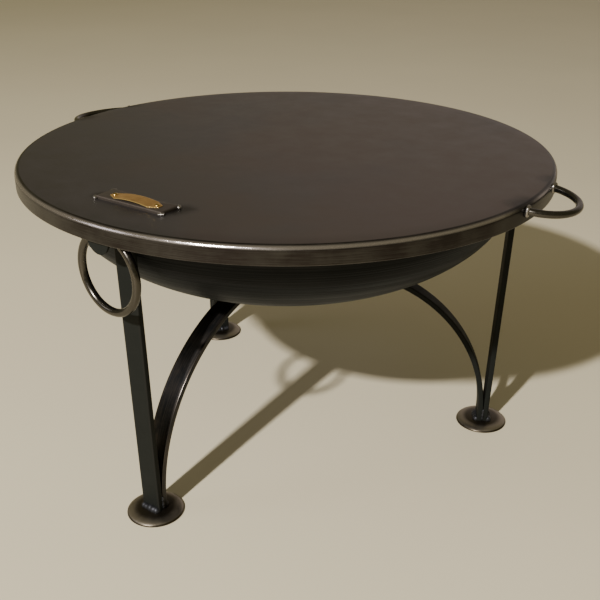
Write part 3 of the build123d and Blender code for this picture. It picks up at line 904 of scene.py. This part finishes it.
@dataclass
class Lid:
    """The flat table lid with its rolled edge and two bar handles."""

    radius: float = 0.360
    top: float = 0.422
    sheet: float = 0.003
    depth: float = 0.0235
    bend: float = 0.007
    roll_in: float = 0.020
    roll_drop: float = 0.0007
    handle_radius: float = 0.0502
    handle_bar: float = 0.0046
    handle_inset: float = 0.008
    handle_drop: float = 0.0089
    droop: float = math.radians(6.2)
    # Angle of the lit side, where the edge's bright band is strongest: a painted highlight, not extra wear.
    painted_highlight_at: float = math.radians(-85.0)
    handle_weld: Pair = (0.0022, 0.0040)
    weld_ahead: float = 0.0012
    weld_out: float = 0.0006
    foot_round: float = 0.001
    band_start: float = 0.004
    # Depth below the top and spread of the bright band on the bend: partly rubbed metal, partly a painted
    # highlight.
    worn_and_highlight_band: Pair = (0.0036, 0.0020)
    worn_foot: float = 0.0012
    brushed_from: float = 0.0012
    top_bloom: float = 0.030
    # Radius of the dark spot round each handle end on the skirt: heat tint, widened as painted shade that
    # dims the skirt's reflection.
    skirt_bloom_and_shade: float = 0.052
    places: tuple[tuple[str, Place], ...] = (("right", Place.HANDLE_RIGHT), ("left", Place.HANDLE_LEFT))

    def profile(self) -> tuple[np.ndarray, np.ndarray]:
        """Profile from the top's middle over the edge, down the skirt and back under.

        Near the edge the top falls away by roll_drop times the square of the way into the last roll_in, then
        a circular bend turns it down. Wear is high on the bend, where the bright band is partly rubbed metal
        and partly a painted highlight, and on the skirt's foot.

        Returns:
            The profile and its wear.
        """
        start = self.radius - self.bend
        way = np.linspace(0, 1, 12)
        reach = start - self.roll_in + way * self.roll_in
        fall = np.stack([reach, self.top - self.roll_drop * way ** 2], -1)
        foot = self.top - self.depth
        bend_mid = (start, self.top - self.bend - self.roll_drop / 2)
        inner = self.radius - self.sheet
        under = self.top - self.sheet
        small = self.bend - self.sheet
        edge = self.foot_round
        profile = np.concatenate([
            [[0.0, self.top]], run((0.0, self.top), (start - self.roll_in, self.top), 26), fall[:-1],
            arc(bend_mid, (self.bend, self.bend - self.roll_drop / 2), 88, 0, 16),
            run((self.radius, bend_mid[1]), (self.radius, foot + edge), 8),
            arc((self.radius - edge, foot + edge), (edge, edge), 0, -90, 6),
            arc((inner + edge, foot + edge), (edge, edge), -90, -180, 6),
            run((inner, foot + edge), (inner, under - small), 4),
            arc((inner - small, under - small), (small, small), 0, 90, 8),
            run((inner - small, under), (0.0, under), 12), [[0.0, under]]])
        on_bend = profile[:, 0] > start - self.band_start
        # The bend's bright band: partly wear, partly painted highlight.
        below, spread = self.worn_and_highlight_band
        bright = on_bend * np.exp(-((profile[:, 1] - (self.top - below)) / spread) ** 2)
        low = np.exp(-((profile[:, 1] - foot) / self.worn_foot) ** 2)
        return profile, np.clip(bright + 0.4 * low, 0, 1)

    def shell(self) -> Skin:
        """Turns the profile into the whole pressing.

        The wear is the profile's times the square root of the mean of 1 and the cosine of the angle from the
        lit side, so the bright band fades away from it as a painted highlight.
        """
        profile, wear = self.profile()
        skin = turned(profile, steps=320, closed=False)
        turn = np.arctan2(skin.points[:, 3, 1], skin.points[:, 3, 0])
        skin.wear = np.sqrt((1 + np.cos(turn - self.painted_highlight_at)) / 2)[:, None] * wear[None, :]
        return skin

    def handle_frame(self, place: Place) -> tuple[np.ndarray, np.ndarray, np.ndarray, np.ndarray]:
        """Middle of a handle's half ring and its outward, sideways and upward unit vectors."""
        middle = (self.radius - self.handle_inset) * place.outward + (self.top - self.handle_drop) * UP
        out = place.outward * math.cos(self.droop) - UP * math.sin(self.droop)
        return middle, out, place.around, np.cross(out, place.around)

    @property
    def end_turn(self) -> float:
        """Angle from straight out to where the half ring meets the skirt's circle."""
        reach = self.radius - self.handle_inset
        x = (self.radius ** 2 - self.handle_radius ** 2 - reach ** 2) / (2 * reach)
        return math.acos(x / self.handle_radius)

    def ends(self, place: Place) -> list[tuple[float, np.ndarray, np.ndarray]]:
        """Each end of a handle: its turn, its direction from the half ring's middle and its point."""
        middle, out, side, _ = self.handle_frame(place)
        found = []
        for turn in (-self.end_turn, self.end_turn):
            away = math.cos(turn) * out + math.sin(turn) * side
            found.append((turn, away, middle + self.handle_radius * away))
        return found

    def handle(self, place: Place) -> Skin:
        """A half ring of round bar, carried just into the skirt's outer face."""
        middle, out, side, up = self.handle_frame(place)
        t = np.linspace(-self.end_turn - 0.02, self.end_turn + 0.02, 80)
        away = np.cos(t)[:, None] * out + np.sin(t)[:, None] * side
        size = 1 - 0.01 + 0.01 * np.sin(5 * t + 0.4)
        size = cap_scale(len(t)) * np.concatenate([[1, 1], size, [1, 1]])
        path, across = capped(middle + self.handle_radius * away, away)
        return carried(path, across, up, rounded_section(self.handle_bar, self.handle_bar, 2.0, 28), size)

    def handle_ends(self, place: Place) -> list[Skin]:
        """A rippled ring of weld round each end of a handle."""
        up = self.handle_frame(place)[3]
        rings = []
        for k, (turn, away, spot) in enumerate(self.ends(place)):
            ahead = np.cross(up, away) * np.sign(turn) * -1
            t = np.linspace(0, 2 * np.pi, 90, endpoint=False)
            round_bar = np.cos(t)[:, None] * away + np.sin(t)[:, None] * up
            path = spot + ahead * self.weld_ahead + (self.handle_bar + self.weld_out) * round_bar
            rings.append(ripple_bead(path, round_bar, ahead, *self.handle_weld, True,
                                     50 + k + int(place.value[0])))
        return rings

    def build(self, top: Material, edge: Material, bar: Material, weld: Material) -> None:
        """Makes the shell, with the brushed edge as its second material, and the handles."""
        shell = make_piece("lid_pressing", [self.shell()], top, "lid", ["lid_top", "lid_skirt"])
        shell.data.materials.append(edge)
        faces = shell.data.polygons
        centres = np.empty(len(faces) * 3)
        faces.foreach_get("center", centres)
        centres = centres.reshape(-1, 3)
        outer = np.hypot(centres[:, 0], centres[:, 1]) > self.radius - self.bend + self.brushed_from
        faces.foreach_set("material_index", outer.astype(np.int32))
        beads = []
        for name, place in self.places:
            make_piece(f"handle_bar_{name}", [self.handle(place)], bar, "lid", [f"lid_handle_{name}"])
            beads += self.handle_ends(place)
        make_piece("handle_weld_rings", beads, weld, "lid", ["lid_handle_welds"])


@dataclass
class Badge:
    """A bare brass strip on a steel backing bar that is tacked to the lid."""

    lid: Lid
    plate_length: float = 0.102
    plate_width: float = 0.030
    plate_thickness: float = 0.004
    plate_centre: Pair = (-0.005, -0.2865)
    length: float = 0.075
    width: float = 0.020
    sheet: float = 0.0012
    rise: float = 0.0022
    flat_end: float = 0.011
    taper: Pair = (0.012, 0.0065)
    centre: Pair = (-0.0025, -0.2895)
    rivet_pitch: float = 0.065
    rivet_head: float = 0.0032
    rivet_crown: float = 0.002
    shank: Pair = (0.002, 0.004)
    shank_gap: float = 0.0001
    tack_reach: float = 0.0042
    tack_rise: float = 0.0012
    tack_bead: Pair = (0.0024, 0.003)
    tack_flat: float = 0.85
    blooms: tuple[Point, ...] = ((0.0500, -0.2750, 0.026), (-0.0570, -0.2900, 0.016))

    def plate(self) -> Skin:
        """The backing bar: a rounded oblong carried up from the lid's top, with eased edges."""
        section = rounded_section(self.plate_length / 2, self.plate_width / 2, 40.0, 160)
        height = np.array([0.0, 0.0, 0.55, 0.78, 0.92, 1.0, 1.0]) * self.plate_thickness + self.lid.top
        inset = np.array([1.0, 0.0, 0.0, 0.0003, 0.0008, 0.0016, 1.0])
        half = np.array([self.plate_length / 2, self.plate_width / 2])
        size = np.where(inset[:, None] == 1.0, 0.0, 1 - inset[:, None] / half)
        points = np.empty((7, 160, 3))
        points[..., 0] = self.plate_centre[0] + section[:, 0] * size[:, :1]
        points[..., 1] = self.plate_centre[1] + section[:, 1] * size[:, 1:]
        points[..., 2] = height[:, None]
        wear = np.array([0, 0, 0.2, 0.8, 1.0, 0.5, 0])[:, None] * np.ones((1, 160))
        return Skin(points, False, True, wear)

    def strip(self) -> Skin:
        """The brass strip: an arch of a circle between two flat ends, its width eased in at the ends."""
        x = np.linspace(-self.length / 2, self.length / 2, 81)
        half = self.length / 2 - self.flat_end
        ball = (half ** 2 + self.rise ** 2) / (2 * self.rise)
        inside = np.clip(np.abs(x), 0, half)
        lift = self.rise - ball + np.sqrt(ball ** 2 - inside ** 2)
        slope = -np.where(np.abs(x) < half, x, 0) / ball
        path = np.stack([
            self.centre[0] + x, np.full_like(x, self.centre[1]),
            self.lid.top + self.plate_thickness + lift + self.sheet / 2], -1)
        reach, depth = self.taper
        narrow = self.width / 2 - depth * np.clip((np.abs(x) - self.length / 2 + reach) / reach, 0, 1)
        shape = rounded_section(1.0, self.sheet / 2, 7.0, 48)
        section = np.broadcast_to(shape, (len(x), *shape.shape)).copy()
        section[..., 0] *= narrow[:, None]
        up = np.stack([-slope, np.zeros_like(x), np.ones_like(x)], -1)
        up /= np.linalg.norm(up, axis=-1, keepdims=True)
        wear = np.clip((np.abs(shape[:, 0]) - 0.9) / 0.08, 0, 1)[None]
        path, up, section = capped(path, up, section)
        across = np.array([0.0, 1.0, 0.0])
        return carried(path, across, up, section, cap_scale(len(x), 0.96), wear=wear)

    def rivets(self) -> list[Skin]:
        """Two domed heads: each the top of a flattened ball on a short collar."""
        base = self.lid.top + self.plate_thickness + self.sheet
        radius, depth = self.shank
        skins = []
        for end in (-1, 1):
            profile = np.concatenate([
                [[0.0, base - depth], [radius, base - depth], [radius, base - self.shank_gap]],
                arc((0.0, base), (self.rivet_head, self.rivet_crown), 0, 90, 16)])
            spot = (self.centre[0] + end * self.rivet_pitch / 2, self.centre[1])
            skins.append(turned(profile, spot, 48, False))
        return skins

    def tacks(self) -> list[Skin]:
        """A lump of weld at each corner of the backing bar, its radius uneven round the lump."""
        skins = []
        for k, (side_x, side_y) in enumerate(((-1, -1), (1, -1), (-1, 1), (1, 1))):
            spot = np.array([
                self.plate_centre[0] + side_x * self.plate_length / 2,
                self.plate_centre[1] + side_y * self.plate_width / 2, self.lid.top + self.tack_rise])
            way = np.array([side_x, -side_y, 0.0]) / math.sqrt(2)
            s = np.linspace(-self.tack_reach, self.tack_reach, 36)
            skins.append(ripple_bead(spot + s[:, None] * way, np.cross(UP, way), UP, *self.tack_bead,
                                     seed=70 + k, flat=self.tack_flat))
        return skins

    def build(self, plate: Material, weld: Material, brass: Material, rivet: Material) -> None:
        """Makes the backing bar, its tacks, the strip and its rivets."""
        make_piece("badge_backing_bar", [self.plate()], plate, "lid", ["badge_plate"])
        make_piece("backing_tacks", self.tacks(), weld, "lid", ["plate_tacks"])
        make_piece("bare_brass_strip", [self.strip()], brass, "lid", ["brass_badge"])
        make_piece("brass_rivet_heads", self.rivets(), rivet, "lid", ["badge_rivets"], 50.0)


@dataclass
class Grate:
    """The lift-out grate: CAD shapes with a dark bar finish."""

    nodes: tuple[str, ...] = (
        "grate_ring", "grate_bars", "grate_bearers", "grate_handle_right", "grate_handle_left")

    def build(self, bar: Material) -> None:
        """Dresses the grate's bars."""
        for node in self.nodes:
            dress(node, bar)


@dataclass
class Studio:
    """Plain pale floor, soft lights and the camera."""

    camera_at: Point = (0.7077, -0.9870, 0.7639)
    looks_along: Point = (-0.51557, 0.74317, -0.4266)
    roll: float = 0.00388
    lens: float = 54.49
    glow_from: Point = (-0.14, 0.99, 0.14)
    air_dim: str = "#7d7654"
    air_glow: str = "#c4b7ad"
    glow_span: Pair = (0.66, 1.0)
    sensor: float = 36.0
    floor_half: float = 14.0
    lamps: tuple[tuple[str, Point, float, float, str], ...] = (
        ("key", (0.32, -4.4, 3.45), 0.18, 560.0, "#fffaf4"),
        ("cool_fill", (-2.6, -2.9, 2.3), 1.4, 22.0, "#e9e6ee"))

    def camera(self) -> None:
        """Places the camera: it looks along one vector, upright but for a slight roll."""
        data = bpy.data.cameras.new("camera")
        data.lens, data.sensor_width = self.lens, self.sensor
        camera = bpy.data.objects.new("camera", data)
        ahead = Vector(self.looks_along).normalized()
        side = ahead.cross(Vector((0, 0, 1))).normalized()
        up = side.cross(ahead)
        right = side * math.cos(self.roll) + up * math.sin(self.roll)
        over = up * math.cos(self.roll) - side * math.sin(self.roll)
        turn = Matrix((right, over, -ahead)).transposed().to_4x4()
        camera.matrix_world = Matrix.Translation(self.camera_at) @ turn
        bpy.context.scene.collection.objects.link(camera)
        bpy.context.scene.camera = camera

    def air(self) -> None:
        """Lights from all round: dim and olive, with a broad soft grey glow from behind the pit."""
        world = bpy.data.worlds.new("studio_air")
        bpy.context.scene.world = world
        world.use_nodes = True
        tree = world.node_tree
        tree.nodes.clear()
        towards = add_node(tree, "VectorMath", {
            0: add_node(tree, "TexCoord").outputs["Generated"],
            1: tuple(Vector(self.glow_from).normalized())}, operation="DOT_PRODUCT")
        low, high = self.glow_span
        glow = add_node(tree, "MapRange", {"Value": towards, "From Min": low, "From Max": high},
                        interpolation_type="SMOOTHSTEP")
        colour = add_node(tree, "Mix", {
            0: glow, 6: srgb(self.air_dim), 7: srgb(self.air_glow)}, data_type="RGBA")
        back = add_node(tree, "Background", {"Color": colour, "Strength": 1.0})
        add_node(tree, "OutputWorld", {"Surface": back})

    def lamp(self, name: str, at: Point, size: float, watts: float, colour: str,
             aim: Point = (0.0, 0.0, 0.25)) -> None:
        """Adds a square soft lamp that faces a point."""
        data = bpy.data.lights.new(name, "AREA")
        data.size, data.energy, data.color = size, watts, srgb(colour)[:3]
        lamp = bpy.data.objects.new(name, data)
        lamp.location = at
        lamp.rotation_euler = (Vector(aim) - Vector(at)).to_track_quat("-Z", "Y").to_euler()
        bpy.context.scene.collection.objects.link(lamp)

    def build(self, floor: Material) -> None:
        """Makes the floor, the surrounding light, the lamps and the camera."""
        mesh = bpy.data.meshes.new("studio_floor")
        half = self.floor_half
        corners = [(-half, -half, 0), (half, -half, 0), (half, half, 0), (-half, half, 0)]
        mesh.from_pydata(corners, [], [(0, 1, 2, 3)])
        mesh.materials.append(floor)
        ground = bpy.data.objects.new("studio_floor", mesh)
        bpy.context.scene.collection.objects.link(ground)
        self.air()
        for lamp in self.lamps:
            self.lamp(*lamp)
        self.camera()


def main() -> None:
    """Builds every sub-assembly in order."""
    logging.basicConfig(level=logging.INFO, format="%(name)s %(message)s")
    lid = Lid()
    badge = Badge(lid)
    ends = [end for _, place in lid.places for end in lid.ends(place)]
    spots = [tuple(float(v) for v in spot) for _, _, spot in ends]
    on_top = [(x, y, lid.top, lid.top_bloom) for x, y, _ in spots]
    on_top += [(x, y, lid.top, radius) for x, y, radius in badge.blooms]
    # The lid's top: warm brown-grey with clouds of 260 mm and mottle of 34 mm, cooler towards the front-left
    # as a painted reflection.
    sheet = WaxedSheet(blooms=tuple(on_top)).material()
    # The lid's skirt: dark streaks 0.9 mm wide, with a bright band along the bend that is partly worn metal
    # and partly a painted highlight, strongest on the lit side; round each handle end a weld bloom, widened
    # as painted shade.
    edge = BrushedSheet(
        "brushed_mild_steel_edge", "#26211f", "#3a3835", "#a19a97",
        blooms=tuple((*spot, lid.skirt_bloom_and_shade) for spot in spots)).material()
    # The bowl: near black, with rings 2.2 and 11 mm apart.
    spun = SpunSheet().material()
    # Legs, side braces and lugs: near black and dull, with pits of 1.8 mm; the side braces keep it as the
    # shaded copy of the front brace's painted-lit finish.
    bar = MillBar("oiled_black_flat_bar", "#181a18", "#201f1c", metallic=0.0, rough_low=0.5,
                  rough_high=0.64, shine=0.07).material()
    # The front brace: the same bar painted lit, so browner, lighter and glossier than the legs and side
    # braces, with streaks 1.4 mm wide.
    lit_front_brace = BrushedSheet(
        "front_brace_bar_painted_lit", "#1b1e21", "#3e3935", "#423d39", streak_mm=1.4,
        streak_length_mm=45.0, patch_mm=30.0, metallic=0.85, rough_low=0.36, rough_high=0.5,
        groove=0.0002).material()
    # The feet: brown heat tint with a paler ring that is partly wear and partly a painted highlight, and pits
    # of 1.4 mm.
    foot = MillBar("heat_tinted_pressed_disc", "#443e35", "#8e867a", patch_mm=16.0, pit_mm=1.4,
                   metallic=0.95, rough_low=0.3, rough_high=0.42).material()
    # Drop rings and lid handles: the glossiest steel, with pits of 1.2 mm.
    ring = MillBar("buffed_round_bar", "#4b4843", "#66625c", patch_mm=7.0, pit_mm=1.2, metallic=0.95,
                   rough_low=0.13, rough_high=0.32, pit_depth=0.00015).material()
    # Welds on the pit: a cool dark grey, with pits of 2 mm.
    weld = MillBar("dull_weld_metal", "#37383c", "#3c3d42", patch_mm=6.0, pit_mm=2.0, metallic=0.85,
                   rough_low=0.42, rough_high=0.55, pit_depth=0.0001).material()
    # Welds on the lid: brushed, so a lighter and warmer grey, with pits of 1.4 mm.
    bright_weld = MillBar("brushed_weld_metal", "#86827e", "#8d8a86", patch_mm=4.0, pit_mm=1.4,
                          metallic=0.95, rough_low=0.24, rough_high=0.4, pit_depth=0.0001).material()
    # The grate: dark brown-grey and the roughest steel, with pits of 1.5 mm.
    grate = MillBar("dry_black_round_bar", "#3c3834", "#5c564e", patch_mm=18.0, pit_mm=1.5,
                    metallic=0.6, rough_low=0.5, rough_high=0.7).material()
    # The backing bar: brown-grey from heat, with pits of 1.6 mm.
    backing = MillBar("heat_darkened_backing_bar", "#48423d", "#4c4641", patch_mm=22.0, pit_mm=1.6,
                      metallic=0.7, rough_low=0.42, rough_high=0.56).material()
    # The strip: satin brass with streaks 0.5 mm wide and 30 mm long.
    brass = BrushedSheet(
        "satin_rolled_brass", "#8c6c3a", "#a9864f", "#c9ab6c", streak_mm=0.5, streak_length_mm=30.0,
        patch_mm=16.0, metallic=0.75, rough_low=0.46, rough_high=0.58, groove=0.0001).material()
    # The rivet heads: polished, so brighter and glossier than the strip.
    rivet = BrushedSheet(
        "polished_brass_rivet", "#b9964f", "#d3b572", "#efe0b4", streak_mm=0.5, streak_length_mm=4.0,
        patch_mm=3.0, metallic=1.0, rough_low=0.15, rough_high=0.25, groove=0.00005).material()
    bowl = Bowl()
    bowl.build(spun)
    Supports(bowl).build(bar, lit_front_brace, foot, weld)
    # The lugs take the near-black bar finish, partly as painted shade under the lid's edge.
    DropRings().build(ring, bar)
    Grate().build(grate)
    lid.build(sheet, edge, ring, bright_weld)
    badge.build(backing, bright_weld, brass, rivet)
    Studio().build(StudioFloor().material())


if __name__ == "__main__":
    main()
